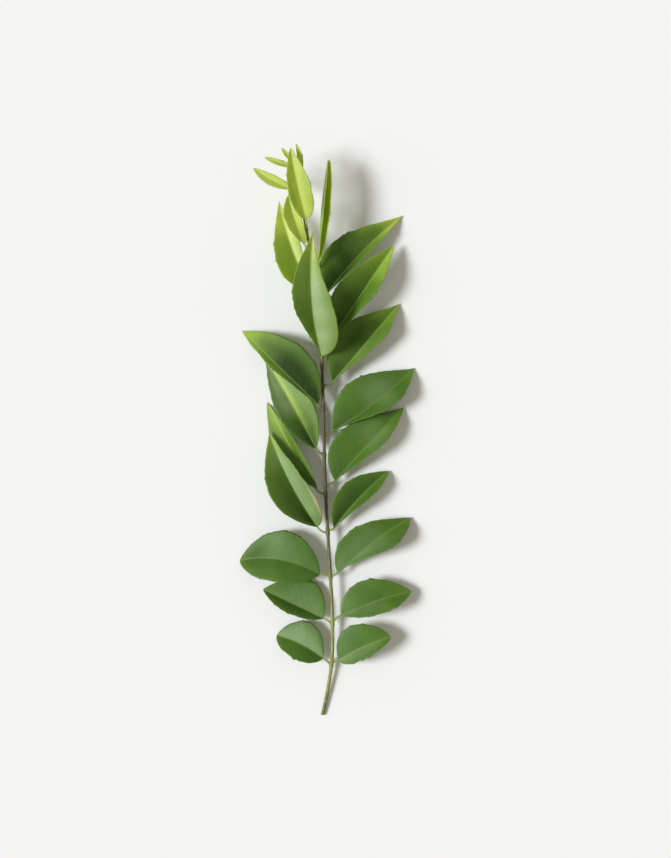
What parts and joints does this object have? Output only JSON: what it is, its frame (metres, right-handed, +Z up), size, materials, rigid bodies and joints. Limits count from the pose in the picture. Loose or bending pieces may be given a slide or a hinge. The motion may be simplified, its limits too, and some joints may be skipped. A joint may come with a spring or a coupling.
{
  "type": "curry leaf sprig",
  "caption": "Fresh curry leaf sprig lying on a surface: a slender stem with stalked, V-folded, toothed leaflets in two rows and a lime growing tip.",
  "frame": {"origin": "On the surface the sprig lies on, below the middle of its outline seen from above.", "axes": "+Y runs along the sprig from the cut end to the growing tip, +Z is up from the surface, and +X is to the right seen from above with the tip at the top."},
  "size_m": [0.0737, 0.237, 0.0275],
  "materials": {
    "rachis": "Smooth green-brown stem skin, yellow-green under the leaflets and browner where it was cut.",
    "grown_leaflet": "Satin deep green leaf with paler midrib, fine side veins, lighter toothed edge and a paler, duller underside.",
    "young_leaflet": "Satin yellow-green to mid green leaf, limier towards its tip and edges, with a pale midrib.",
    "new_growth": "Soft lime to yellow-green new leaflets and bud."
  },
  "bodies": {
    "root": {"rachis": "rachis", "leaflet_left_1": "grown_leaflet", "leaflet_left_2": "grown_leaflet", "leaflet_left_3": "grown_leaflet", "leaflet_left_4": "grown_leaflet", "leaflet_left_5": "grown_leaflet", "leaflet_left_6": "grown_leaflet", "leaflet_left_7": "grown_leaflet", "leaflet_left_8": "young_leaflet", "leaflet_left_9": "young_leaflet", "leaflet_left_10": "young_leaflet", "leaflet_right_1": "grown_leaflet", "leaflet_right_2": "grown_leaflet", "leaflet_right_3": "grown_leaflet", "leaflet_right_4": "grown_leaflet", "leaflet_right_5": "grown_leaflet", "leaflet_right_6": "grown_leaflet", "leaflet_right_7": "grown_leaflet", "leaflet_right_8": "young_leaflet", "leaflet_right_9": "young_leaflet", "leaflet_right_10": "young_leaflet", "leaflet_right_11": "young_leaflet", "growing_tip": "new_growth"}
  },
  "joints": []
}
